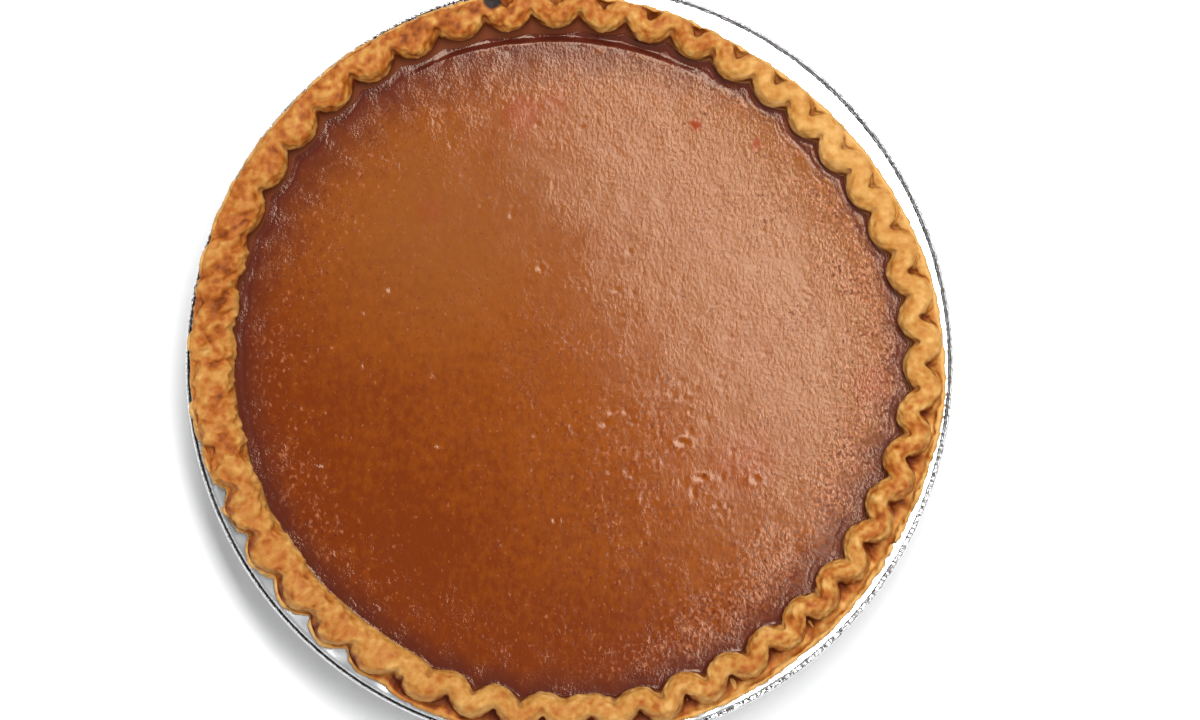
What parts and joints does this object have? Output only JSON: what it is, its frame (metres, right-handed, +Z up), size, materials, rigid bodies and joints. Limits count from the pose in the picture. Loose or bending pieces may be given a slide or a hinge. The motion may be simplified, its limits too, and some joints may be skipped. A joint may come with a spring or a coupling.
{
  "type": "pumpkin pie",
  "caption": "Whole baked pumpkin pie in its own foil tin: smooth set custard inside a browned pastry crust with a crimped, rope-like rim.",
  "frame": {"origin": "centre of the tin's base, on the surface that the pie stands on", "axes": "+Z up through the middle of the filling; +Y towards the far side of the pie in the picture, +X to its right"},
  "size_m": [0.244, 0.244, 0.0411],
  "materials": {
    "foil": "bright rolled foil with stamped pleats",
    "baked_pastry": "dry baked pastry, golden and browned",
    "set_custard": "set custard skin with a soft sheen"
  },
  "bodies": {
    "root": {"foil_tin": "foil", "pastry_crust": "baked_pastry", "pumpkin_filling": "set_custard"}
  },
  "joints": []
}
